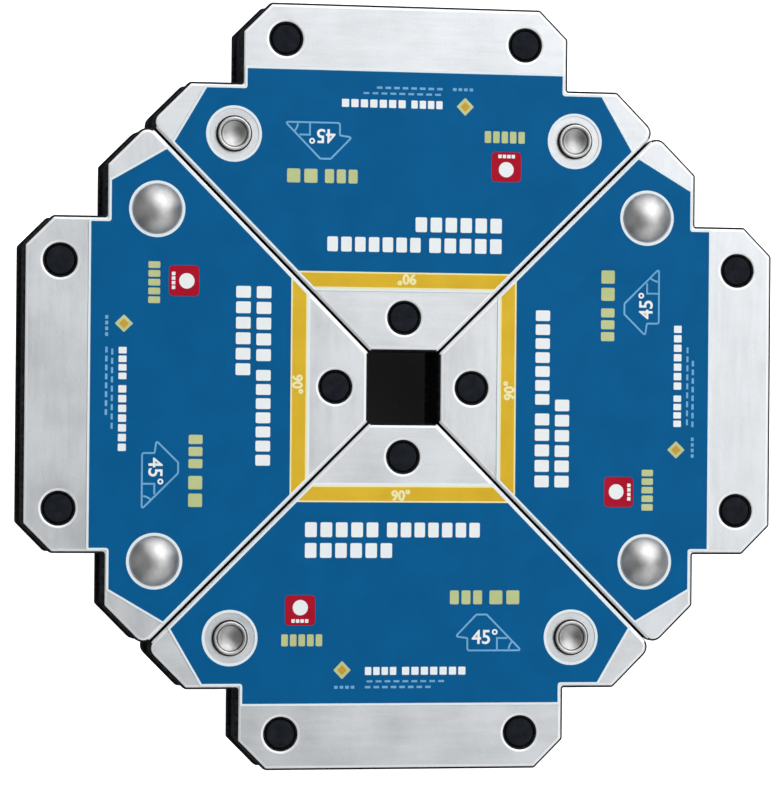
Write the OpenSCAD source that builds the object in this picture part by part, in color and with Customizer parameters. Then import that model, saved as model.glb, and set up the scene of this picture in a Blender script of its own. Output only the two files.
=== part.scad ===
// Set of four arrow-shaped welding magnets, nested points inward round a square window.
// One magnet is drawn face up, with its point towards the origin and its base along -Y.
// Then it is turned into each of the four places, and every other one is turned over.

/* [Arrow] */
// Distance from the centre of the set to the flat point of each arrow
point_y = 6.1; // [5:0.1:9]
// Distance from the centre of the set to the base edge
base_y = 64.7; // [62:0.1:68]
// Distance from the centre of the set to the shoulders
shoulder_y = 51; // [50:0.1:53]
// Half the width of the stem
stem_half_w = 28.2; // [26.5:0.1:30]
// Width plus depth at the 45 degree cuts of the wings and stem corners
cut_sum = 88; // [86.5:0.1:90]
// Half the gap between two neighbouring magnets
half_seam = 0.12; // [0.1:0.01:0.3]
// Radius of the wing tips
tip_r = 2; // [0.5:0.1:3]
// Radius of the other plate corners
corner_r = 0.7; // [0.3:0.1:1.2]

/* [Plates] */
// Thickness of one magnet over its two plates
body_t = 12; // [11:0.5:16]
// Thickness of a steel plate
plate_t = 2; // [1.5:0.1:2.5]

/* [Core] */
// How far the plastic core sits back from the plate edges
core_inset = 0.6; // [0.3:0.1:1]
// Radius of the locating pegs
peg_r = 2.4; // [2.2:0.1:2.8]
// Gap round a peg in its plate hole
peg_gap = 0.2; // [0.1:0.05:0.3]
// How far the peg ends sit below the plate faces
peg_recess = 0.1; // [0.05:0.05:0.3]
// Distance from the centre of the set to the point peg
point_peg_y = 11.8; // [11.5:0.1:13]
// Distance between the two base pegs
base_peg_spacing = 41.4; // [40:0.1:42]
// Distance from the centre of the set to the base pegs
base_peg_y = 58.6; // [58:0.1:59]

/* [Magnet blocks] */
// Length of the two slanted magnet blocks
slant_magnet_l = 26; // [20:1:26]
// Width of the two slanted magnet blocks
slant_magnet_w = 5; // [3:0.5:5]
// Distance along the slanted edge to the start of its block
slant_magnet_start = 20; // [18:0.5:20]
// Length of the base magnet block
base_magnet_l = 32; // [20:1:32]
// Width of the base magnet block
base_magnet_w = 6; // [4:0.5:6]
// Plastic wall between the core's edge and a block
pocket_wall = 1; // [0.8:0.1:1.2]

/* [Rivets] */
// Distance between the two rivets
rivet_spacing = 59; // [58:0.1:60]
// Distance from the centre of the set to the rivets
rivet_y = 42.4; // [42:0.1:43]
// Radius of the rivet shank
shank_r = 2.5; // [2:0.1:2.7]
// Radius of the domed head
head_r = 4.15; // [3.8:0.05:4.5]
// Height of the domed head
head_rise = 1.9; // [1.5:0.1:2.4]
// Radius of the spread tail
tail_r = 3.05; // [2.95:0.05:3.4]
// Height of the spread tail
tail_rise = 0.8; // [0.5:0.1:1.2]
// Radius of the dish in the tail
dish_r = 2.2; // [1.8:0.1:2.4]
// Depth of the dish in the tail
dish_depth = 0.6; // [0.4:0.1:0.8]

/* [Label] */
// Thickness of the vinyl label
label_t = 0.15; // [0.1:0.05:0.3]
// Distance from the centre of the set to the label's inner edge
label_inner_y = 16.2; // [16:0.1:18]
// Distance from the centre of the set to the label's outer edge
label_outer_y = 53.9; // [53:0.1:54.5]
// Bare strip between the plate's slanted edge and the label
label_edge = 0.35; // [0.25:0.05:0.5]
// Bare strip between the plate's stem and shoulder edges and the label
label_side = 0.5; // [0.3:0.1:0.8]
// Gap between a domed head and the label's cut-out round it
cutout_gap = 0.1; // [0.05:0.05:0.4]

/* [Hidden] */
$fn = 64;
arc_steps = 6;
fit_gap = 0.03;
pocket_gap = 0.1;
core_bore_gap = 0.2;
over = 1;
core_t = body_t - 2 * plate_t;
face_z = body_t / 2;
middle_z = head_rise + face_z;
head_sphere_r = (head_r * head_r + head_rise * head_rise) / (2 * head_rise);
dish_sphere_r = (dish_r * dish_r + dish_depth * dish_depth) / (2 * dish_depth);
tail_z = -face_z - tail_rise;
cutout_r = head_r + cutout_gap;
// The label's wing edge leans in from the wing towards the shoulder.
label_wing_x = 40.1;
label_heel_x = 34.4;
label_corner_r = 0.3;

function unit(v) = v / norm(v);

// The points of a round corner of radius r at b, between the edges to a and c.
function fillet(a, b, c, r) =
    let (
        to_a = unit(a - b),
        to_c = unit(c - b),
        half_angle = acos(to_a * to_c) / 2,
        centre = b + unit(to_a + to_c) * r / sin(half_angle),
        start = b + to_a * r / tan(half_angle) - centre,
        end = b + to_c * r / tan(half_angle) - centre,
        start_angle = atan2(start.y, start.x),
        sweep = (atan2(end.y, end.x) - start_angle + 540) % 360 - 180
    )
    [for (i = [0:arc_steps])
        let (angle = start_angle + sweep * i / arc_steps)
        centre + r * [cos(angle), sin(angle)]];

// A closed outline with corner i rounded to radii[i].
function rounded(points, radii) =
    let (n = len(points))
    [for (i = [0:n - 1])
        each fillet(points[(i + n - 1) % n], points[i], points[(i + 1) % n], radii[i])];

// The right half of an outline, closed by its mirror image.
function both_sides(half) =
    concat(half, [for (i = [len(half) - 1:-1:0]) [-half[i].x, half[i].y]]);
function both_radii(half) = concat(half, [for (i = [len(half) - 1:-1:0]) half[i]]);

// The right half of the arrow, d inside the plate's edge. Every edge is square or at 45 degrees.
function arrow_half(d) =
    let (
        slant = (half_seam + d) * sqrt(2),
        cut = cut_sum - d * sqrt(2),
        point = point_y + d,
        shoulder = shoulder_y - d,
        stem = stem_half_w - d,
        base = base_y - d
    )
    [
        [point - slant, -point],
        [(cut - slant) / 2, -(cut + slant) / 2],
        [cut - shoulder, -shoulder],
        [stem, -shoulder],
        [stem, stem - cut],
        [cut - base, -base]
    ];
arrow_radii = [corner_r, tip_r, corner_r, corner_r, corner_r, corner_r];

function label_half() =
    let (
        slant = (half_seam + label_edge) * sqrt(2),
        stem = stem_half_w - label_side,
        shoulder = shoulder_y - label_side
    )
    [
        [label_inner_y - slant, -label_inner_y],
        [label_wing_x, -label_wing_x - slant],
        [label_heel_x, -shoulder],
        [stem, -shoulder],
        [stem, -label_outer_y]
    ];
label_radii = [for (i = [0:4]) label_corner_r];

module arrow(d, z, h) {
    translate([0, 0, z])
        linear_extrude(h)
        polygon(rounded(both_sides(arrow_half(d)), both_radii(arrow_radii)));
}

module at_rivets() {
    for (side = [-1, 1])
        translate([side * rivet_spacing / 2, -rivet_y, 0])
            children();
}

module at_pegs() {
    translate([0, -point_peg_y, 0])
        children();
    for (side = [-1, 1])
        translate([side * base_peg_spacing / 2, -base_peg_y, 0])
            children();
}

module plate(z) {
    color("silver")
    difference() {
        arrow(0, z, plate_t);
        at_rivets()
            translate([0, 0, z - over])
            cylinder(r = shank_r + fit_gap, h = plate_t + 2 * over);
        at_pegs()
            translate([0, 0, z - over])
            cylinder(r = peg_r + peg_gap, h = plate_t + 2 * over);
    }
}

module front_plate() {
    plate(face_z - plate_t);
}

module back_plate() {
    plate(-face_z);
}

// A block beside the slanted edge, grown by grow on each side.
module slant_block(side, grow, h) {
    inner = half_seam + core_inset + pocket_wall;
    mirror([side < 0 ? 1 : 0, 0, 0])
        rotate(-45)
        translate([slant_magnet_start - grow, -inner - slant_magnet_w - grow, -h / 2])
        cube([slant_magnet_l + 2 * grow, slant_magnet_w + 2 * grow, h]);
}

// A block beside the base edge, grown by grow on each side.
module base_block(grow, h) {
    outer = base_y - core_inset - pocket_wall;
    translate([-base_magnet_l / 2 - grow, -outer - grow, -h / 2])
        cube([base_magnet_l + 2 * grow, base_magnet_w + 2 * grow, h]);
}

module core_frame() {
    color("#26282f")
    union() {
        difference() {
            arrow(core_inset, -core_t / 2, core_t);
            at_rivets()
                cylinder(r = shank_r + core_bore_gap, h = core_t + 2 * over, center = true);
            slant_block(-1, pocket_gap, core_t + 2 * over);
            slant_block(1, pocket_gap, core_t + 2 * over);
            base_block(pocket_gap, core_t + 2 * over);
        }
        at_pegs()
            cylinder(r = peg_r, h = body_t - 2 * peg_recess, center = true);
    }
}

module left_magnet() {
    color("dimgray")
        slant_block(-1, 0, core_t - 2 * fit_gap);
}

module right_magnet() {
    color("dimgray")
        slant_block(1, 0, core_t - 2 * fit_gap);
}

module base_magnet() {
    color("dimgray")
        base_block(0, core_t - 2 * fit_gap);
}

// A rivet: a domed head on the front face and a tail on the back, spread into a dished ring.
module rivet(side) {
    color("gainsboro")
    translate([side * rivet_spacing / 2, -rivet_y, 0])
    union() {
        intersection() {
            translate([0, 0, face_z + head_rise - head_sphere_r])
                sphere(r = head_sphere_r);
            translate([0, 0, face_z])
                cylinder(r = head_r + over, h = head_rise + over);
        }
        difference() {
            union() {
                translate([0, 0, tail_z])
                    cylinder(r = shank_r, h = face_z - tail_z);
                translate([0, 0, tail_z])
                    cylinder(r = tail_r, h = tail_rise);
            }
            translate([0, 0, tail_z + dish_depth - dish_sphere_r])
                sphere(r = dish_sphere_r);
        }
    }
}

module left_rivet() {
    rivet(-1);
}

module right_rivet() {
    rivet(1);
}

module label(z) {
    color("#0f598b")
    difference() {
        translate([0, 0, z])
            linear_extrude(label_t)
            polygon(rounded(both_sides(label_half()), both_radii(label_radii)));
        at_rivets()
            translate([0, 0, z - over])
            cylinder(r = cutout_r, h = label_t + 2 * over);
    }
}

module front_label() {
    label(face_z);
}

module back_label() {
    label(-face_z - label_t);
}

// The four places. The bottom and top magnets lie face down, on their domed rivet heads.
module in_place(angle, face_down) {
    translate([0, 0, middle_z])
        rotate(angle)
        rotate([0, face_down ? 180 : 0, 0])
        children();
}

module bottom() {
    in_place(0, true)
        children();
}

module right() {
    in_place(90, false)
        children();
}

module top() {
    in_place(180, true)
        children();
}

module left() {
    in_place(-90, false)
        children();
}

bottom() front_plate();  // bottom_front_plate
bottom() back_plate();  // bottom_back_plate
bottom() core_frame();  // bottom_core_frame
bottom() left_magnet();  // bottom_left_magnet
bottom() right_magnet();  // bottom_right_magnet
bottom() base_magnet();  // bottom_base_magnet
bottom() left_rivet();  // bottom_left_rivet
bottom() right_rivet();  // bottom_right_rivet
bottom() front_label();  // bottom_front_label
bottom() back_label();  // bottom_back_label
right() front_plate();  // right_front_plate
right() back_plate();  // right_back_plate
right() core_frame();  // right_core_frame
right() left_magnet();  // right_left_magnet
right() right_magnet();  // right_right_magnet
right() base_magnet();  // right_base_magnet
right() left_rivet();  // right_left_rivet
right() right_rivet();  // right_right_rivet
right() front_label();  // right_front_label
right() back_label();  // right_back_label
top() front_plate();  // top_front_plate
top() back_plate();  // top_back_plate
top() core_frame();  // top_core_frame
top() left_magnet();  // top_left_magnet
top() right_magnet();  // top_right_magnet
top() base_magnet();  // top_base_magnet
top() left_rivet();  // top_left_rivet
top() right_rivet();  // top_right_rivet
top() front_label();  // top_front_label
top() back_label();  // top_back_label
left() front_plate();  // left_front_plate
left() back_plate();  // left_back_plate
left() core_frame();  // left_core_frame
left() left_magnet();  // left_left_magnet
left() right_magnet();  // left_right_magnet
left() base_magnet();  // left_base_magnet
left() left_rivet();  // left_left_rivet
left() right_rivet();  // left_right_rivet
left() front_label();  // left_front_label
left() back_label();  // left_back_label
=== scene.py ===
"""Four arrow welding magnets nested round a square window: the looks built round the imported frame.

Each magnet is drawn once in its own millimetres, with its point towards the origin, its base along
-Y and its domed rivet heads up. Then it is turned into its place, as the CAD nodes are.
"""

import math

import bpy
from mathutils import Matrix, Vector, geometry

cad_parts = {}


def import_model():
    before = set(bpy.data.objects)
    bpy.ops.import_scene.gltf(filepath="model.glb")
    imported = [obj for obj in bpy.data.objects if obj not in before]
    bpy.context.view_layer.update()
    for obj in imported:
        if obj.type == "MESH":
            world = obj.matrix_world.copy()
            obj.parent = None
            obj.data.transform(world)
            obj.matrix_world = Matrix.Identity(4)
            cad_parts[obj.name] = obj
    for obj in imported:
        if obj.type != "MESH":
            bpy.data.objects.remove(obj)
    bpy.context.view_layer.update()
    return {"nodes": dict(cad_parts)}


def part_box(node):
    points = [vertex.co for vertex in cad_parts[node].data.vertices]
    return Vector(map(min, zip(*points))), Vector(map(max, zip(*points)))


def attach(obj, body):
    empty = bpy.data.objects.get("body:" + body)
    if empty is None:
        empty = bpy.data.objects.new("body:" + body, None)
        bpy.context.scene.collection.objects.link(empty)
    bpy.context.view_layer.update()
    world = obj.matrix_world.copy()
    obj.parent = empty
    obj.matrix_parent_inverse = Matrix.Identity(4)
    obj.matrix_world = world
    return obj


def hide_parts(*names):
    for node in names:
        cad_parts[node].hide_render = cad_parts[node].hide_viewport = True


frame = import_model()

MM = 0.001

# ---- the frame's own sizes, in millimetres -------------------------------------------------

PLACES = {
    "bottom": {"angle": 0, "face_down": True},
    "right": {"angle": 90, "face_down": False},
    "top": {"angle": 180, "face_down": True},
    "left": {"angle": -90, "face_down": False},
}
SIDES = ("front", "back")


def size_of(node):
    """The lowest and highest corners of a CAD node, in millimetres."""
    low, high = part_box(node)
    return low / MM, high / MM


# The bottom magnet lies in its own axes apart from being turned over, so it gives the sizes.
plate_low, plate_high = size_of("bottom_back_plate")
front_low = size_of("bottom_front_plate")[0]
rivet_low, rivet_high = size_of("bottom_left_rivet")
label_low, label_high = size_of("bottom_back_label")
core_low, core_high = size_of("bottom_core_frame")
MIDDLE_Z = (plate_high.z + front_low.z) / 2
FACE_Z = plate_high.z - MIDDLE_Z
PLATE_T = plate_high.z - plate_low.z
CORE_Z = FACE_Z - PLATE_T
POINT_Y = -plate_high.y
BASE_Y = -plate_low.y
LABEL_T = label_high.z - label_low.z
LABEL_INNER_Y = -label_high.y
LABEL_OUTER_Y = -label_low.y
RIVET_X = abs(rivet_low.x + rivet_high.x) / 2
RIVET_Y = -(rivet_low.y + rivet_high.y) / 2
HEAD_R = (rivet_high.x - rivet_low.x) / 2
HEAD_RISE = front_low.z - rivet_low.z
TAIL_RISE = rivet_high.z - plate_high.z
PEG_Z = core_high.z - MIDDLE_Z
CORE_INSET = BASE_Y + core_low.y

# ---- the arrow's other sizes, in millimetres -----------------------------------------------

HALF_SEAM = 0.12
SHOULDER_Y = 51.0
STEM_HALF_W = 28.2
CUT_SUM = 88.0
TIP_R = 2.0
CORNER_R = 0.7
HOLLOW_R = 0.2
MIN_CORNER_R = 0.1
# A small rounded edge has one point between its ends, this part of its radius in from both faces.
KNEE = 0.3
# The plate's edge as (inset, depth below its face): a sheared lip, then a soft roll.
EDGE_LIP = [(0.0, 0.32), (0.12, 0.19), (0.35, 0.07)]
EDGE_ROLL = [(0.46, 0.035), (0.58, 0.012), (0.75, 0.0)]
INNER_EDGE_R = 0.12
PEG_R = 2.4
PEG_HOLE_R = 2.6
POINT_PEG_Y = 11.8
BASE_PEG_X = 20.7
BASE_PEG_Y = 58.6
SHANK_R = 2.5
SHANK_HOLE_R = 2.53
TAIL_R = 3.05
SLANT_BLOCK = {"start": 20.0, "length": 26.0, "width": 5.0}
BASE_BLOCK = {"length": 32.0, "width": 6.0}
POCKET_WALL = 1.0
POCKET_GAP = 0.1
CORE_BORE_R = 2.7

# ---- the label's sizes, in millimetres -----------------------------------------------------

LABEL_EDGE = 0.35
LABEL_SIDE = 0.5
LABEL_WING_X = 40.1
LABEL_HEEL_X = 34.4
LABEL_CORNER_R = 0.3
LABEL_HOLLOW_R = 0.05
CUTOUT_GAP = 0.1
BORDER = 0.42
PRINT_CUTOUT_R = 4.75
INK = 0.012
BAND_OUTER_Y = 19.5
# The figures' height as a part of the font's size.
FIGURE_HEIGHT = 0.72

SQRT2 = math.sqrt(2)

# ---- finish and stage, in the frame's metres -----------------------------------------------

# Each magnet's grain is the same pattern moved by this much more than the one before.
GRAIN_SHIFT = Vector((0.31, 0.17, 0.23))
FLAT_FACE_WEIGHT = 80
FLOOR_HALF = 3.0
FLOOR_SHUT_IN = 0.03
LIGHT_DISTANCE = 1.5

# ---- outlines ------------------------------------------------------------------------------


def fillet(a, b, c, r, steps=6):
    """The points of a round corner of radius r at b, between the edges to a and c."""
    to_a, to_c = (a - b).normalized(), (c - b).normalized()
    half = math.acos(max(-1.0, min(1.0, to_a.dot(to_c)))) / 2
    centre = b + (to_a + to_c).normalized() * r / math.sin(half)
    start = b + to_a * r / math.tan(half) - centre
    end = b + to_c * r / math.tan(half) - centre
    first = math.atan2(start.y, start.x)
    sweep = (math.atan2(end.y, end.x) - first + 3 * math.pi) % (2 * math.pi) - math.pi
    angles = [first + sweep * i / steps for i in range(steps + 1)]
    return [centre + r * Vector((math.cos(t), math.sin(t))) for t in angles]


def rounded(points, radii, steps=6):
    """A closed outline with corner i rounded to radii[i], or all to one radius."""
    points = [Vector(p) for p in points]
    n = len(points)
    radii = [radii] * n if isinstance(radii, float) else radii
    out = []
    for i in range(n):
        out += fillet(points[i - 1], points[i], points[(i + 1) % n], radii[i], steps)
    return out


def both_sides(half):
    """The left half's mirror image joined to the right half, anticlockwise."""
    return [(-x, y) for x, y in half] + [(x, y) for x, y in reversed(half)]


def circle(x, y, r, count=48):
    """A round hole as a function of the inset, clockwise, so that the solid is on its left."""
    angles = [-2 * math.pi * i / count for i in range(count)]
    return lambda d: [Vector((x + (r + d) * math.cos(t), y + (r + d) * math.sin(t))) for t in angles]


def offset(loop, d):
    """A closed outline with every point moved d to its left, square to its two edges."""
    out = []
    for i, p in enumerate(loop):
        before = (p - loop[i - 1]).normalized()
        after = (loop[(i + 1) % len(loop)] - p).normalized()
        left_a, left_b = Vector((-before.y, before.x)), Vector((-after.y, after.x))
        out.append(p + (left_a + left_b) * (d / (1 + left_a.dot(left_b))))
    return out


def inset_of(loop):
    """A plain outline as a function of the inset."""
    return lambda d: offset(loop, d)


def inside(p, loop):
    """Whether a point lies within a closed outline."""
    found = False
    for a, b in zip(loop, loop[1:] + loop[:1]):
        if (a.y > p.y) != (b.y > p.y) and p.x < a.x + (p.y - a.y) * (b.x - a.x) / (b.y - a.y):
            found = not found
    return found


def cap_triangles(loops):
    """Well-shaped triangles that fill an outline and leave its holes open, anticlockwise, as
    places in the loops' points taken in order."""
    points = [p for loop in loops for p in loop]
    edges, start = [], 0
    for loop in loops:
        n = len(loop)
        edges += [(start + i, start + (i + 1) % n) for i in range(n)]
        start += n
    found = geometry.delaunay_2d_cdt(points, edges, [], 0, 1e-7)
    made, triangles, sources = found[0], found[2], found[3]
    kept = []
    for triangle in triangles:
        middle = sum((made[i] for i in triangle), Vector((0, 0))) / 3
        if inside(middle, loops[0]) and not any(inside(middle, hole) for hole in loops[1:]):
            kept.append([sources[i][0] for i in triangle])
    return kept


def tightened(r, d, hollow=False):
    """A corner's radius once its outline has moved d inward."""
    return r + d if hollow else max(r - d, MIN_CORNER_R)


def arrow_outline(start):
    """The plate's outline, start inside its edge, as a function of a further inset. Every edge is
    square or at 45 degrees."""

    def outline(d):
        moved = start + d
        slant = (HALF_SEAM + moved) * SQRT2
        cut = CUT_SUM - moved * SQRT2
        point, shoulder, base = POINT_Y + moved, SHOULDER_Y - moved, BASE_Y - moved
        stem = STEM_HALF_W - moved
        half = [
            (point - slant, -point),
            ((cut - slant) / 2, -(cut + slant) / 2),
            (cut - shoulder, -shoulder),
            (stem, -shoulder),
            (stem, stem - cut),
            (cut - base, -base),
        ]
        corner = tightened(CORNER_R, d)
        radii = [corner, tightened(TIP_R, d), corner, tightened(HOLLOW_R, d, True), corner, corner]
        return rounded(both_sides(half), radii + radii[::-1])

    return outline


def label_outline(inner_y, outer_y):
    """The label's outline between two distances from the centre of the set, as a function of
    the inset."""

    def outline(d):
        slant = (HALF_SEAM + LABEL_EDGE) * SQRT2
        shoulder = LABEL_SIDE - SHOULDER_Y
        wing, heel = Vector((LABEL_WING_X, -LABEL_WING_X - slant)), Vector((LABEL_HEEL_X, shoulder))
        along = (heel - wing).normalized()
        moved = wing + d * Vector((along.y, -along.x))
        # Where the moved wing edge meets the moved slanted edge and the moved shoulder.
        to_slant = -(moved.x + moved.y + slant + d * SQRT2) / (along.x + along.y)
        to_shoulder = (shoulder + d - moved.y) / along.y
        stem = STEM_HALF_W - LABEL_SIDE - d
        half = [
            (inner_y + d - slant - d * SQRT2, -inner_y - d),
            tuple(moved + along * to_slant),
            tuple(moved + along * to_shoulder),
            (stem, shoulder + d),
            (stem, d - outer_y),
        ]
        corner = tightened(LABEL_CORNER_R, d)
        radii = [corner, corner, corner, tightened(LABEL_HOLLOW_R, d, True), corner]
        return rounded(both_sides(half), radii + radii[::-1])

    return outline


# ---- meshes --------------------------------------------------------------------------------


class Build:
    """A mesh in the making, in one magnet's millimetres."""

    def __init__(self):
        self.points, self.faces, self.slots, self.smooth = [], [], [], []

    def add(self, points, faces, slots, smooth):
        first = len(self.points)
        self.points += [Vector(p) for p in points]
        self.faces += [[first + i for i in f] for f in faces]
        self.slots += slots
        self.smooth += smooth

    def solid(self, loops, levels, slots=None, round_sides=True):
        """A closed solid. Each loop is a function of the inset: the first is the outline,
        anticlockwise, and the rest are holes, clockwise. levels are (inset, z) from the bottom
        cap to the top one, and slots give each band's material between two levels, with the
        caps' at either end. round_sides shades the bands as one curved surface."""
        slots = slots or [0] * (len(levels) + 1)
        points, faces, used = [], [], []
        counts = [len(loop(0)) for loop in loops]
        total = sum(counts)
        for inset, z in levels:
            for loop in loops:
                points += [(p.x, p.y, z) for p in loop(inset)]
        start = 0
        for n in counts:
            for level in range(len(levels) - 1):
                low, high = level * total + start, (level + 1) * total + start
                for i in range(n):
                    j = (i + 1) % n
                    faces.append([low + i, low + j, high + j, high + i])
                    used.append(slots[level + 1])
            start += n
        smooth = [round_sides] * len(faces)
        for level, up in ((0, False), (len(levels) - 1, True)):
            inset = levels[level][0]
            for triangle in cap_triangles([loop(inset) for loop in loops]):
                order = triangle if up else triangle[::-1]
                faces.append([level * total + i for i in order])
                used.append(slots[-1] if up else slots[0])
                smooth.append(False)
        self.add(points, faces, used, smooth)

    def lathe(self, x, y, profile, count=64, slots=None):
        """A closed solid of revolution about a line along Z at x, y. profile is (radius, z) from
        its top to its bottom, and starts and ends on the axis."""
        slots = slots or [0] * (len(profile) - 1)
        points = [(x, y, profile[0][1])]
        for r, z in profile[1:-1]:
            for i in range(count):
                t = 2 * math.pi * i / count
                points.append((x + r * math.cos(t), y + r * math.sin(t), z))
        points.append((x, y, profile[-1][1]))
        faces, used = [], []
        last, rings = len(points) - 1, len(profile) - 2
        for i in range(count):
            j = (i + 1) % count
            faces.append([0, 1 + i, 1 + j])
            used.append(slots[0])
            for k in range(rings - 1):
                a, b = 1 + k * count, 1 + (k + 1) * count
                faces.append([a + i, b + i, b + j, a + j])
                used.append(slots[k + 1])
            end = 1 + (rings - 1) * count
            faces.append([end + i, last, end + j])
            used.append(slots[-1])
        self.add(points, faces, used, [True] * len(faces))

    def finish(self, name, place, body_matrix, materials, replaces=None, slot=None):
        """The piece, in its place, riding on its magnet. Each vertex keeps its own local
        position as the attribute "local", which the materials' grain follows."""
        mesh = bpy.data.meshes.new(name)
        world = [body_matrix @ (p * MM) for p in self.points]
        mesh.from_pydata(world, [], self.faces)
        local = mesh.attributes.new("local", "FLOAT_VECTOR", "POINT")
        shift = GRAIN_SHIFT * (1 + list(PLACES).index(place))
        for value, p in zip(local.data, self.points):
            value.vector = p * MM + shift
        for material in materials:
            mesh.materials.append(material)
        for polygon, used, smooth in zip(mesh.polygons, self.slots, self.smooth):
            polygon.material_index = used
            polygon.use_smooth = smooth
        mesh.validate()
        piece = bpy.data.objects.new(name, mesh)
        bpy.context.scene.collection.objects.link(piece)
        if any(self.smooth):
            weights = piece.modifiers.new("even_normals", "WEIGHTED_NORMAL")
            weights.weight = FLAT_FACE_WEIGHT
        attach(piece, f"{place}_arrow")
        if replaces:
            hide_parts(replaces)
        return piece


# ---- materials -----------------------------------------------------------------------------


class Nodes:
    """A material's node tree, with short calls for what the materials here share."""

    def __init__(self, name, colour, metallic, roughness):
        self.material = bpy.data.materials.new(name)
        self.material.use_nodes = True
        self.tree = self.material.node_tree
        self.shader = self.tree.nodes["Principled BSDF"]
        self.set("Base Color", (*colour, 1.0))
        self.set("Metallic", metallic)
        self.set("Roughness", roughness)
        self.where = self.tree.nodes.new("ShaderNodeAttribute")
        self.where.attribute_name = "local"

    def set(self, socket, value):
        self.shader.inputs[socket].default_value = value

    def link(self, a, b):
        self.tree.links.new(a, b)

    def stretched(self, scale):
        """The local position, scaled by a different amount along each axis."""
        mapping = self.tree.nodes.new("ShaderNodeMapping")
        mapping.inputs["Scale"].default_value = scale
        self.link(self.where.outputs["Vector"], mapping.inputs["Vector"])
        return mapping.outputs["Vector"]

    def noise(self, scale, detail=4.0, stretch=(1, 1, 1), roughness=0.55):
        node = self.tree.nodes.new("ShaderNodeTexNoise")
        node.inputs["Scale"].default_value = scale
        node.inputs["Detail"].default_value = detail
        node.inputs["Roughness"].default_value = roughness
        self.link(self.stretched(stretch), node.inputs["Vector"])
        return node.outputs["Fac"]

    def ramp(self, fac, stops):
        """A colour ramp of (position, colour or grey) stops."""
        node = self.tree.nodes.new("ShaderNodeValToRGB")
        elements = node.color_ramp.elements
        while len(elements) < len(stops):
            elements.new(0.5)
        for element, (position, value) in zip(elements, stops):
            element.position = position
            grey = isinstance(value, (int, float))
            element.color = (value, value, value, 1.0) if grey else (*value, 1.0)
        self.link(fac, node.inputs["Fac"])
        return node.outputs["Color"]

    def add(self, a, b, factor=1.0):
        """a plus b times factor."""
        node = self.tree.nodes.new("ShaderNodeMath")
        node.operation = "MULTIPLY_ADD"
        self.link(b, node.inputs[0])
        node.inputs[1].default_value = factor
        self.link(a, node.inputs[2])
        return node.outputs["Value"]

    def bump(self, height, distance, strength=1.0):
        node = self.tree.nodes.new("ShaderNodeBump")
        node.inputs["Distance"].default_value = distance
        node.inputs["Strength"].default_value = strength
        self.link(height, node.inputs["Height"])
        self.link(node.outputs["Normal"], self.shader.inputs["Normal"])


def plated_steel():
    """Bright zinc plating: cloudy tone, a fine rolled grain along the base, and faint handling."""
    m = Nodes("plated_steel", (0.62, 0.63, 0.65), 1.0, 0.4)
    clouds = m.noise(90.0, 5.0)
    grain = m.noise(900.0, 3.0, (0.12, 1.0, 1.0))
    speckle = m.noise(5200.0, 2.0)
    tone = m.add(m.add(clouds, grain, 0.35), speckle, 0.35)
    colour = m.ramp(tone, [(0.55, (0.55, 0.57, 0.59)), (1.15, (0.7, 0.725, 0.75))])
    m.link(colour, m.shader.inputs["Base Color"])
    rough = m.ramp(m.add(clouds, speckle, 0.6), [(0.5, 0.36), (1.1, 0.5)])
    m.link(rough, m.shader.inputs["Roughness"])
    m.bump(m.add(grain, speckle, 0.8), 0.00003, 0.6)
    return m.material


def painted_highlight_edge():
    """A painted highlight for the soft roll inside the plate's edge and the upper lip of its slanted
    edges: paler and less metallic than the face.
    """
    m = Nodes("painted_highlight_edge", (0.86, 0.87, 0.89), 0.45, 0.4)
    rub = m.noise(1500.0, 3.0)
    m.link(m.ramp(rub, [(0.3, 0.34), (0.7, 0.5)]), m.shader.inputs["Roughness"])
    m.bump(rub, 0.00002, 0.4)
    return m.material


def painted_shade_edge():
    """Painted shade for the plate's punched side, under edge and lip: nearly black and without shine,
    with streaks through its thickness. The shadowed parts of a rivet's tail share it as painted shade."""
    m = Nodes("painted_shade_edge", (0.015, 0.015, 0.017), 0.0, 0.5)
    m.set("Specular IOR Level", 0.0)
    streaks = m.noise(1400.0, 3.0, (1.0, 1.0, 0.08))
    colour = m.ramp(streaks, [(0.3, (0.008, 0.008, 0.009)), (0.75, (0.034, 0.034, 0.036))])
    m.link(colour, m.shader.inputs["Base Color"])
    m.link(m.ramp(streaks, [(0.3, 0.62), (0.7, 0.45)]), m.shader.inputs["Roughness"])
    m.bump(streaks, 0.00005, 0.7)
    return m.material


def black_plastic():
    """Spark-textured black nylon with a faint grey bloom."""
    m = Nodes("black_plastic", (0.012, 0.013, 0.018), 0.0, 0.55)
    m.set("Specular IOR Level", 0.0)
    texture = m.noise(2600.0, 3.0)
    bloom = m.noise(700.0, 4.0)
    colour = m.ramp(bloom, [(0.3, (0.011, 0.013, 0.017)), (0.75, (0.021, 0.024, 0.031))])
    m.link(colour, m.shader.inputs["Base Color"])
    m.link(m.ramp(texture, [(0.3, 0.45), (0.7, 0.68)]), m.shader.inputs["Roughness"])
    m.bump(texture, 0.00008, 1.0)
    return m.material


def ferrite():
    """Ground grey ferrite for the blocks inside."""
    m = Nodes("ferrite", (0.07, 0.07, 0.075), 0.3, 0.6)
    grit = m.noise(2500.0, 4.0)
    m.link(m.ramp(grit, [(0.3, 0.045), (0.7, 0.1)]), m.shader.inputs["Base Color"])
    m.bump(grit, 0.00004, 0.7)
    return m.material


def rivet_steel(name, tone, roughness):
    """Tumbled satin steel with soft cloudy patches, brighter or darker by its tone."""
    m = Nodes(name, (tone, tone, tone), 1.0, roughness)
    clouds = m.noise(420.0, 3.0)
    dents = m.noise(1500.0, 2.0)
    m.link(m.ramp(clouds, [(0.3, tone * 0.87), (0.7, tone * 1.13)]), m.shader.inputs["Base Color"])
    worn = [(0.3, roughness - 0.04), (0.7, roughness + 0.04)]
    m.link(m.ramp(dents, worn), m.shader.inputs["Roughness"])
    m.bump(dents, 0.00002, 0.3)
    return m.material


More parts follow.
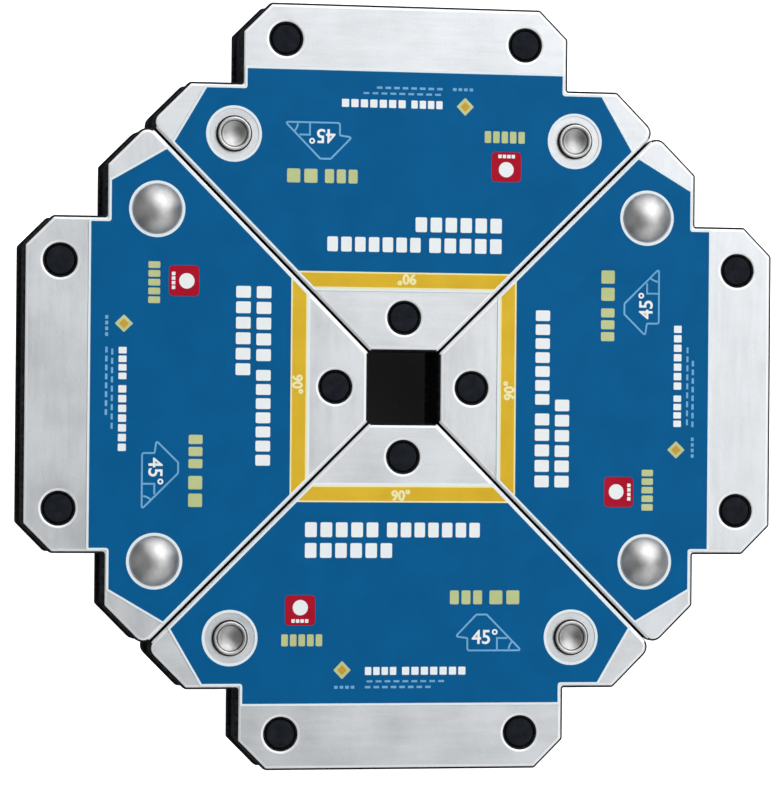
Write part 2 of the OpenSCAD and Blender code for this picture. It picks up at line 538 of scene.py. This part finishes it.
def ink(name, colour, lighter, roughness=0.5):
    """Printed vinyl in one colour, with a slight tone shift and a fine orange-peel surface."""
    m = Nodes(name, colour, 0.0, roughness)
    m.set("Specular IOR Level", 0.05)
    tone = m.noise(160.0, 4.0)
    peel = m.noise(1900.0, 2.0)
    m.link(m.ramp(tone, [(0.35, colour), (0.7, lighter)]), m.shader.inputs["Base Color"])
    worn = [(0.3, roughness - 0.08), (0.7, roughness + 0.08)]
    m.link(m.ramp(peel, worn), m.shader.inputs["Roughness"])
    m.bump(peel, 0.00002, 0.35)
    return m.material


# The second material is a painted highlight and the third is painted shade, for the plate's edges.
STEEL, HIGHLIGHT_PAINT, SHADE_PAINT = plated_steel(), painted_highlight_edge(), painted_shade_edge()
PLASTIC, FERRITE = black_plastic(), ferrite()
# The dish's steel is the rivet's own steel made darker, as painted shade inside the cup.
RIVET, SHADED_DISH = rivet_steel("rivet_steel", 0.52, 0.44), rivet_steel("dish_steel_painted_shade", 0.37, 0.4)
VINYL = ink("white_vinyl", (0.82, 0.92, 0.96), (0.86, 0.94, 0.97))
BLUE = ink("blue_ink", (0.001, 0.106, 0.29), (0.0015, 0.118, 0.318))
YELLOW = ink("yellow_ink", (0.73, 0.46, 0.027), (0.81, 0.53, 0.04))
CREAM = ink("cream_ink", (0.94, 0.87, 0.45), (0.97, 0.9, 0.5))
WHITE = ink("white_ink", (0.9, 0.95, 0.96), (0.93, 0.97, 0.98))
PALE = ink("pale_yellow_ink", (0.53, 0.6, 0.28), (0.6, 0.67, 0.33))
AMBER = ink("amber_ink", (0.6, 0.34, 0.04), (0.68, 0.4, 0.05))
SKY = ink("pale_blue_ink", (0.16, 0.42, 0.7), (0.2, 0.48, 0.76))
RED = ink("red_ink", (0.42, 0.005, 0.022), (0.48, 0.008, 0.03))

# ---- the pieces of one magnet --------------------------------------------------------------


def peg_places():
    """Where the pegs stand on the front."""
    return [(0.0, -POINT_PEG_Y), (-BASE_PEG_X, -BASE_PEG_Y), (BASE_PEG_X, -BASE_PEG_Y)]


def rivet_places():
    """Where the rivets stand on the front, by side."""
    return {"left": (-RIVET_X, -RIVET_Y), "right": (RIVET_X, -RIVET_Y)}


def plate():
    """A steel plate from z = 0 to its outer face, with a sheared side and lip painted nearly black as
    shade, and a soft roll round its outline and its holes painted bright as a highlight."""
    build = Build()
    holes = [circle(x, y, PEG_HOLE_R) for x, y in peg_places()]
    holes += [circle(x, y, SHANK_HOLE_R) for x, y in rivet_places().values()]
    under = [(INNER_EDGE_R, 0.0), (0.0, INNER_EDGE_R)]
    over = [(inset, PLATE_T - depth) for inset, depth in EDGE_LIP + EDGE_ROLL]
    # The under edge, the side and the lip take the painted shade, and the roll takes the painted
    # highlight.
    face, rolled, sheared = 0, 1, 2
    slots = [sheared] * len(under + EDGE_LIP) + [rolled] * len(EDGE_ROLL) + [face]
    build.solid([arrow_outline(0)] + holes, under + over, slots)
    # The upper part of the lip along the two slanted working edges is painted bright as a highlight, as
    # the roll is.
    lip_z = PLATE_T - EDGE_LIP[1][1]
    for i, corners in enumerate(build.faces):
        middle = sum((build.points[k] for k in corners), Vector()) / len(corners)
        on_slant = abs(middle.x) + middle.y > -(HALF_SEAM + EDGE_LIP[2][0]) * SQRT2
        if build.slots[i] == sheared and middle.z > lip_z and on_slant:
            build.slots[i] = rolled
    return build


def rectangle(corner, along, across):
    """A pocket's outline, clockwise, from a corner and two sides."""
    corner, along, across = Vector(corner), Vector(along), Vector(across)
    points = [corner, corner + across, corner + across + along, corner + along]
    if (points[1] - points[0]).cross(points[2] - points[1]) > 0:
        points.reverse()
    return inset_of(points)


def pockets():
    """The outlines of the three pockets that hold the magnet blocks."""
    inner = HALF_SEAM + CORE_INSET + POCKET_WALL
    grown = 2 * POCKET_GAP
    out = []
    for side in (-1, 1):
        along = Vector((side, -1)) / SQRT2
        across = Vector((-side, -1)) / SQRT2
        corner = along * (SLANT_BLOCK["start"] - POCKET_GAP) + across * (inner - POCKET_GAP)
        length, width = SLANT_BLOCK["length"] + grown, SLANT_BLOCK["width"] + grown
        out.append(rectangle(corner, along * length, across * width))
    length, width = BASE_BLOCK["length"] + grown, BASE_BLOCK["width"] + grown
    outer = BASE_Y - CORE_INSET - POCKET_WALL
    out.append(rectangle((-length / 2, -outer - POCKET_GAP), (length, 0), (0, width)))
    return out


def core_frame():
    """The moulding between the plates, with a parting line round it and its three pegs."""
    build = Build()
    holes = pockets()
    holes += [circle(x, y, CORE_BORE_R, 32) for x, y in rivet_places().values()]
    edge, line, proud = 0.3, 0.12, 0.05
    side = [(edge, -CORE_Z), (edge * KNEE, -CORE_Z + edge * KNEE), (0, -CORE_Z + edge)]
    side += [(0, -line), (-proud, -line / 3)]
    levels = side + [(inset, -z) for inset, z in reversed(side)]
    build.solid([arrow_outline(CORE_INSET)] + holes, levels)
    rim, sunk, dimple = 0.25, 0.05, 0.05
    dimple_r, dimple_floor_r = PEG_R * 0.45, PEG_R * 0.35
    for x, y in peg_places():
        for up in (1, -1):
            profile = [(0, CORE_Z - sunk), (PEG_R, CORE_Z - sunk), (PEG_R, PEG_Z - rim)]
            profile += [(PEG_R - rim * KNEE, PEG_Z - rim * KNEE), (PEG_R - rim, PEG_Z)]
            profile += [(dimple_r, PEG_Z), (dimple_floor_r, PEG_Z - dimple), (0, PEG_Z - dimple)]
            if up > 0:
                profile = profile[::-1]
            build.lathe(x, y, [(r, up * z) for r, z in profile], 48)
    return build


def rivet(x, y):
    """A domed head on the front and a rolled, dished tail on the back, along the same shank."""
    edge, steps = 0.2, 14
    rise = HEAD_RISE - edge
    dome_r = (HEAD_R**2 + rise**2) / (2 * rise)
    turns = [math.asin(HEAD_R / dome_r) * i / steps for i in range(steps + 1)]
    top = FACE_Z + HEAD_RISE
    head = [(dome_r * math.sin(t), top - dome_r * (1 - math.cos(t))) for t in turns]
    head += [(HEAD_R, FACE_Z), (SHANK_R, FACE_Z)]
    foot = -FACE_Z
    crest = foot - TAIL_RISE
    # From the shank out under the tail, over its crest and down to the rim of the dish.
    roll = [
        (SHANK_R, foot),
        (TAIL_R - 0.3, foot),
        (TAIL_R - 0.05, foot - 0.15),
        (TAIL_R, foot - 0.32),
        (TAIL_R - 0.08, crest + 0.22),
        (TAIL_R - 0.25, crest + 0.06),
        (TAIL_R - 0.48, crest),
        (TAIL_R - 0.7, crest + 0.05),
        (TAIL_R - 0.83, crest + 0.18),
        (TAIL_R - 0.9, crest + 0.42),
    ]
    dish_r, dish_z, dish_rise, rings = 1.95, crest + 0.44, 0.42, 5
    bowl_r = (dish_r**2 + dish_rise**2) / (2 * dish_rise)
    turns = [math.asin(dish_r / bowl_r) * (1 - i / rings) for i in range(rings + 1)]
    floor = dish_z + dish_rise
    dish = [(bowl_r * math.sin(t), floor - bowl_r * (1 - math.cos(t))) for t in turns]
    # The foot and outer wall of the tail and the wall above the dish are painted nearly black as shade,
    # and the dish takes a darker copy of the rivet's steel as painted shade.
    bright, painted_shade, dished = 0, 1, 2
    slots = [bright] * (len(head) + 1) + [painted_shade] * 4 + [bright] * 3 + [painted_shade] + [dished] * (rings + 1)
    build = Build()
    build.lathe(x, y, head + roll + dish, slots=slots)
    return build


def label_sheet():
    """The vinyl sheet on z = 0, with its edge cut square and its top rim softened."""
    build = Build()
    holes = [circle(x, y, HEAD_R + CUTOUT_GAP, 64) for x, y in rivet_places().values()]
    soft = 0.04
    levels = [(0, 0), (0, LABEL_T - soft), (soft, LABEL_T)]
    build.solid([label_outline(LABEL_INNER_Y, LABEL_OUTER_Y)] + holes, levels, round_sides=False)
    return build


# ---- the print on a label, laid out in millimetres -----------------------------------------


def printed(build, loops, layer=1):
    """A layer of ink on the label, inside the outline."""
    low = LABEL_T + (layer - 1) * INK
    build.solid(loops, [(0, low), (0, low + INK)], round_sides=False)


def box_outline(x0, x1, y0, y1, r):
    """A rounded box as a function of the inset, whichever way its corners are given."""
    low_x, high_x = min(x0, x1), max(x0, x1)
    low_y, high_y = min(y0, y1), max(y0, y1)
    corners = [(low_x, low_y), (high_x, low_y), (high_x, high_y), (low_x, high_y)]
    return inset_of(rounded(corners, float(r), 4))


def blue_field():
    """The blue ground, from the yellow band out, inside the sheet's white border."""
    build = Build()
    holes = [circle(x, y, PRINT_CUTOUT_R, 64) for x, y in rivet_places().values()]
    sheet = label_outline(BAND_OUTER_Y - BORDER, LABEL_OUTER_Y)
    printed(build, [lambda d: sheet(BORDER + d)] + holes)
    return build


def band_outline(inner, outer):
    """A strip across the point, between two distances from the centre of the set."""
    slant = (HALF_SEAM + LABEL_EDGE + BORDER) * SQRT2
    return inset_of(rounded(both_sides([(inner - slant, -inner), (outer - slant, -outer)]), 0.08, 2))


def yellow_band():
    """The band across the point, with the cream print's edges left showing on both sides."""
    build = Build()
    inner_line, outer_line = 0.3, 0.27
    inner, outer = LABEL_INNER_Y + BORDER + inner_line, BAND_OUTER_Y - outer_line
    printed(build, [band_outline(inner, outer)], layer=2)
    return build


def word(build, x0, x1, y0, y1, count, gap=0.24, layer=2):
    """A row of plain blocks from x0 to x1 and y0 to y1, with no lettering. gap is the part of each
    step that stays empty."""
    step = (x1 - x0) / (count - gap)
    width = step * (1 - gap)
    corner = 0.1 * abs(y1 - y0)
    for i in range(count):
        left = x0 + i * step
        printed(build, [box_outline(left, left + width, y0, y1, corner)], layer)


def stroke(points, width):
    """The outline of a line of even width through the points, with mitred corners."""
    points = [Vector(p) for p in points]
    left, right = [], []
    for i, p in enumerate(points):
        before = (p - points[i - 1]).normalized() if i else (points[1] - p).normalized()
        after = (points[i + 1] - p).normalized() if i + 1 < len(points) else before
        a, b = Vector((-before.y, before.x)), Vector((-after.y, after.x))
        mitre = (a + b) * (width / 2 / (1 + a.dot(b)))
        left.append(p + mitre)
        right.append(p - mitre)
    return inset_of(right + left[::-1])


def frame_stroke(loop, width):
    """The two loops of an even line along a closed anticlockwise outline."""
    return [inset_of(offset(loop, -width / 2)), inset_of(offset(loop, width / 2)[::-1])]


def disc(x, y, r, count=40):
    """A round spot as a function of the inset, anticlockwise."""
    hole = circle(x, y, r, count)
    return lambda d: hole(-d)[::-1]


def numerals(build, text, x, y, height, bold, layer=2):
    """Plain angle figures, centred on x and standing on y. Every edge moves out by bold times the
    height."""
    curve = bpy.data.curves.new("numerals", "FONT")
    curve.body = text
    curve.size = height / FIGURE_HEIGHT
    curve.align_x = "CENTER"
    curve.offset = height * bold
    curve.extrude = INK / 2
    curve.resolution_u = 4
    holder = bpy.data.objects.new("numerals", curve)
    bpy.context.scene.collection.objects.link(holder)
    seen = holder.evaluated_get(bpy.context.evaluated_depsgraph_get())
    mesh = bpy.data.meshes.new_from_object(seen)
    lift = Vector((x, y, LABEL_T + INK * (layer - 0.5)))
    points = [v.co + lift for v in mesh.vertices]
    faces = [list(p.vertices) for p in mesh.polygons]
    build.add(points, faces, [0] * len(faces), [False] * len(faces))
    bpy.data.objects.remove(holder)
    bpy.data.meshes.remove(mesh)
    bpy.data.curves.remove(curve)


def white_print():
    """The heading's blocks, the small line, the 45 degree figure and the badge's mark."""
    build = Build()
    word(build, -16.8, -4.2, -22.9, -25.4, 5)
    word(build, -2.7, 13.4, -22.9, -25.4, 7)
    word(build, -16.8, -1.8, -26.4, -28.9, 6)
    word(build, -6.3, -0.9, -47.35, -48.7, 4)
    word(build, 0.1, 11.1, -47.35, -48.7, 7)
    numerals(build, "45°", 14.5, -43.45, 2.4, 0.022)
    printed(build, [disc(-17.5, -37.3, 1.3)], layer=3)
    word(build, -19.0, -16.1, -39.25, -39.85, 4, layer=3)
    return build


def cream_print():
    """The lines along both edges of the band, and its angle figure."""
    build = Build()
    printed(build, [band_outline(LABEL_INNER_Y + BORDER, BAND_OUTER_Y)])
    numerals(build, "90°", -0.35, -19.13, 1.72, 0.055, layer=3)
    return build


def pale_blue_print():
    """The arrow pictogram with its 45 degree wedge, and lines of fine print as dashes."""
    build = Build()
    width, top_y, wing_y, shoulder_y, base_y = 0.3, -38.5, -42.2, -42.5, -44.6
    left, right, tip = 11.4, 16.55, 20.8
    house = [(left, base_y), (tip, base_y), (14.75, top_y), (12.95, top_y), (9.35, wing_y)]
    house += [(left, shoulder_y)]
    printed(build, frame_stroke(rounded(house, [0.35, 0.2, 0.3, 0.3, 0.2, 0.2], 4), width), layer=2)
    printed(build, [stroke([(18.35, shoulder_y), (right, shoulder_y), (right, base_y)], width)], layer=3)
    turns = [math.radians(a) for a in range(134, 181, 8)]
    arc = [(tip + 2.2 * math.cos(t), base_y + 2.2 * math.sin(t)) for t in turns]
    printed(build, [stroke(arc, width)], layer=3)
    word(build, -6.0, 7.4, -49.6, -49.95, 9, gap=0.35)
    word(build, -6.3, 5.1, -50.55, -50.95, 8, gap=0.35)
    word(build, -11.6, -8.1, -50.5, -51.0, 4, gap=0.35)
    return build


def pale_yellow_print():
    """Blocks for the type and rating, and the rim of a plain diamond."""
    build = Build()
    word(build, 8.3, 13.9, -34.4, -36.75, 3)
    word(build, 15.2, 20.4, -34.4, -36.75, 2)
    word(build, -20.7, -13.7, -41.8, -43.8, 5)
    diamond = [(-10.25, -49.4), (-8.75, -47.85), (-10.25, -46.3), (-11.75, -47.85)]
    printed(build, [inset_of(rounded(diamond, 0.12, 2))], layer=2)
    return build


def amber_print():
    """The middle of the diamond."""
    build = Build()
    diamond = [(-10.25, -48.7), (-9.43, -47.85), (-10.25, -47.0), (-11.07, -47.85)]
    printed(build, [inset_of(rounded(diamond, 0.1, 2))], layer=3)
    return build


def red_print():
    """The ground of the badge."""
    build = Build()
    printed(build, [box_outline(-20.1, -14.95, -35.2, -40.3, 0.7)], layer=2)
    return build


# ---- putting the magnets together ----------------------------------------------------------


def place_matrix(place):
    """From one magnet's axes to the frame, in metres."""
    turn = Matrix.Rotation(math.radians(PLACES[place]["angle"]), 4, "Z")
    over = Matrix.Rotation(math.pi if PLACES[place]["face_down"] else 0, 4, "Y")
    return Matrix.Translation((0, 0, MIDDLE_Z * MM)) @ turn @ over


def side_matrix(place, side, z):
    """From one face's axes, with z = 0 at z inside or on the magnet, to the frame."""
    over = Matrix.Rotation(math.pi if side == "back" else 0, 4, "Y")
    return place_matrix(place) @ over @ Matrix.Translation((0, 0, z * MM))


PRINTS = {
    "blue_field": (blue_field, BLUE, "blue_vinyl"),
    "yellow_band": (yellow_band, YELLOW, None),
    "white_print": (white_print, WHITE, None),
    "cream_print": (cream_print, CREAM, None),
    "pale_blue_print": (pale_blue_print, SKY, None),
    "pale_yellow_print": (pale_yellow_print, PALE, None),
    "amber_print": (amber_print, AMBER, None),
    "red_print": (red_print, RED, None),
}


def magnet(place, parts):
    """One magnet's pieces, from meshes drawn once."""
    here = place_matrix(place)
    for side in SIDES:
        there = side_matrix(place, side, CORE_Z)
        steel = [STEEL, HIGHLIGHT_PAINT, SHADE_PAINT]
        name = f"{place}_{side}_plate"
        parts["plate"].finish(f"{name}_detail", place, there, steel, name, "plated_steel")
        on_face = side_matrix(place, side, FACE_Z)
        name = f"{place}_{side}_label"
        parts["label"].finish(f"{name}_sheet", place, on_face, [VINYL], name, "blue_vinyl")
        for print_name, (_, material, slot) in PRINTS.items():
            name = f"{place}_{side}_{print_name}"
            parts[print_name].finish(name, place, on_face, [material], None, slot)
    name = f"{place}_core_frame"
    parts["core"].finish(f"{name}_detail", place, here, [PLASTIC], name, "black_plastic")
    for side in ("left", "right"):
        name = f"{place}_{side}_rivet"
        piece = parts[f"{side}_rivet"]
        piece.finish(f"{name}_detail", place, here, [RIVET, SHADE_PAINT, SHADED_DISH], name, "rivet_steel")
    for block in ("left", "right", "base"):
        node = frame["nodes"][f"{place}_{block}_magnet"]
        for material_slot in node.material_slots:
            material_slot.material = FERRITE


def magnets():
    """Every piece drawn once, and then all four magnets."""
    parts = {"plate": plate(), "core": core_frame(), "label": label_sheet()}
    for side, (x, y) in rivet_places().items():
        parts[f"{side}_rivet"] = rivet(x, y)
    for name, (draw, _, _) in PRINTS.items():
        parts[name] = draw()
    for place in PLACES:
        magnet(place, parts)


# ---- the stage -----------------------------------------------------------------------------


def floor():
    """A pale floor that glows, as a light table does, with painted shade where the magnets shut it in:
    there its colour and glow go nearly black.
    """
    half = FLOOR_HALF
    mesh = bpy.data.meshes.new("floor")
    corners = [(-half, -half, 0), (half, -half, 0), (half, half, 0), (-half, half, 0)]
    mesh.from_pydata(corners, [], [[0, 1, 2, 3]])
    pale, painted_shade = 0.9, 0.007
    m = Nodes("floor", (pale, pale, pale), 0.0, 0.8)
    m.set("Specular IOR Level", 0.1)
    shut_in = m.tree.nodes.new("ShaderNodeAmbientOcclusion")
    shut_in.inputs["Distance"].default_value = FLOOR_SHUT_IN
    spot = m.tree.nodes.new("ShaderNodeNewGeometry")
    reach = m.tree.nodes.new("ShaderNodeVectorMath")
    reach.operation = "LENGTH"
    m.link(spot.outputs["Position"], reach.inputs[0])
    # Only the window can take the painted shade: away is 0 up to the first distance from the middle, and
    # 1 from the second one out.
    shade_to, glow_from = 10, 15
    away = m.tree.nodes.new("ShaderNodeMath")
    away.operation = "MULTIPLY_ADD"
    away.use_clamp = True
    m.link(reach.outputs["Value"], away.inputs[0])
    away.inputs[1].default_value = 1 / MM / (glow_from - shade_to)
    away.inputs[2].default_value = -shade_to / (glow_from - shade_to)
    open_air = m.add(shut_in.outputs["AO"], away.outputs["Value"])
    # Where the floor is shut in, its colour and glow are painted nearly black as shade.
    tone = m.ramp(open_air, [(0.4, painted_shade), (0.5, pale)])
    m.link(tone, m.shader.inputs["Base Color"])
    m.link(tone, m.shader.inputs["Emission Color"])
    m.set("Emission Strength", 1.0)
    mesh.materials.append(m.material)
    piece = bpy.data.objects.new("floor", mesh)
    bpy.context.scene.collection.objects.link(piece)


def aim(thing, target):
    """Turns a lamp to face a point."""
    thing.rotation_mode = "QUATERNION"
    thing.rotation_quaternion = (Vector(target) - thing.location).to_track_quat("-Z", "Y")


def softbox(name, bearing, tilt, size, power):
    """A square lamp facing the set: its bearing from +X and its angle from straight up in
    degrees, its side in metres and its power in watts."""
    light = bpy.data.lights.new(name, "AREA")
    light.shape = "SQUARE"
    light.size = size
    light.energy = power
    lamp = bpy.data.objects.new(name, light)
    around, down = math.radians(bearing), math.radians(tilt)
    across = math.sin(down)
    towards = Vector((across * math.cos(around), across * math.sin(around), math.cos(down)))
    lamp.location = towards * LIGHT_DISTANCE
    aim(lamp, (0, 0, 0))
    bpy.context.scene.collection.objects.link(lamp)


def world():
    """A soft room: brighter overhead, darker at the horizon, and pale where it is looked at."""
    low, overhead, looked_at = (0.02, 0.02, 0.021, 1), (0.06, 0.06, 0.061, 1), (0.9, 0.9, 0.9, 1)
    scene_world = bpy.data.worlds.new("studio")
    bpy.context.scene.world = scene_world
    scene_world.use_nodes = True
    tree = scene_world.node_tree
    nodes, links = tree.nodes, tree.links
    coordinates = nodes.new("ShaderNodeTexCoord")
    split = nodes.new("ShaderNodeSeparateXYZ")
    ramp = nodes.new("ShaderNodeValToRGB")
    path = nodes.new("ShaderNodeLightPath")
    mix = nodes.new("ShaderNodeMix")
    mix.data_type = "RGBA"
    links.new(coordinates.outputs["Generated"], split.inputs["Vector"])
    links.new(split.outputs["Z"], ramp.inputs["Fac"])
    ramp.color_ramp.elements[0].position = 0.1
    ramp.color_ramp.elements[0].color = low
    ramp.color_ramp.elements[1].position = 0.9
    ramp.color_ramp.elements[1].color = overhead
    links.new(path.outputs["Is Camera Ray"], mix.inputs["Factor"])
    links.new(ramp.outputs["Color"], mix.inputs["A"])
    mix.inputs["B"].default_value = looked_at
    links.new(mix.outputs["Result"], nodes["Background"].inputs["Color"])


def lights():
    """Strongest from the upper right, as the highlights on the domed heads show."""
    softbox("high_right", 0, 28, 1.0, 3.0)
    softbox("high_top_right", 60, 28, 1.0, 4.0)
    softbox("low_top_right", 45, 52, 1.3, 10)
    softbox("low_top", 90, 52, 1.3, 7)
    softbox("low_left", 180, 52, 1.3, 2)
    softbox("low_bottom", 270, 52, 1.3, 3.5)
    softbox("low_bottom_right", 315, 52, 1.3, 4)


def camera():
    """A long lens a little to the left of the set, level with its middle."""
    distance, yaw, pitch, roll = 665.2, math.radians(-11.42), math.radians(-0.39), math.radians(0.5)
    target = Vector((-2.52, -1.3, MIDDLE_Z + FACE_Z))
    back = Vector((math.tan(yaw), math.tan(pitch), 1)).normalized()
    ahead = -back
    up_hint = Vector((-math.sin(roll), math.cos(roll), 0))
    right = ahead.cross(up_hint).normalized()
    up = right.cross(ahead)
    data = bpy.data.cameras.new("camera")
    data.sensor_fit = "AUTO"
    data.sensor_width = 36.0
    data.lens = 178.9
    eye = bpy.data.objects.new("camera", data)
    turn = Matrix((right, up, back)).transposed().to_4x4()
    eye.matrix_world = Matrix.Translation((target + back * distance) * MM) @ turn
    bpy.context.scene.collection.objects.link(eye)
    bpy.context.scene.camera = eye


camera()
magnets()
floor()
world()
lights()
bpy.context.scene.view_settings.view_transform = "Standard"
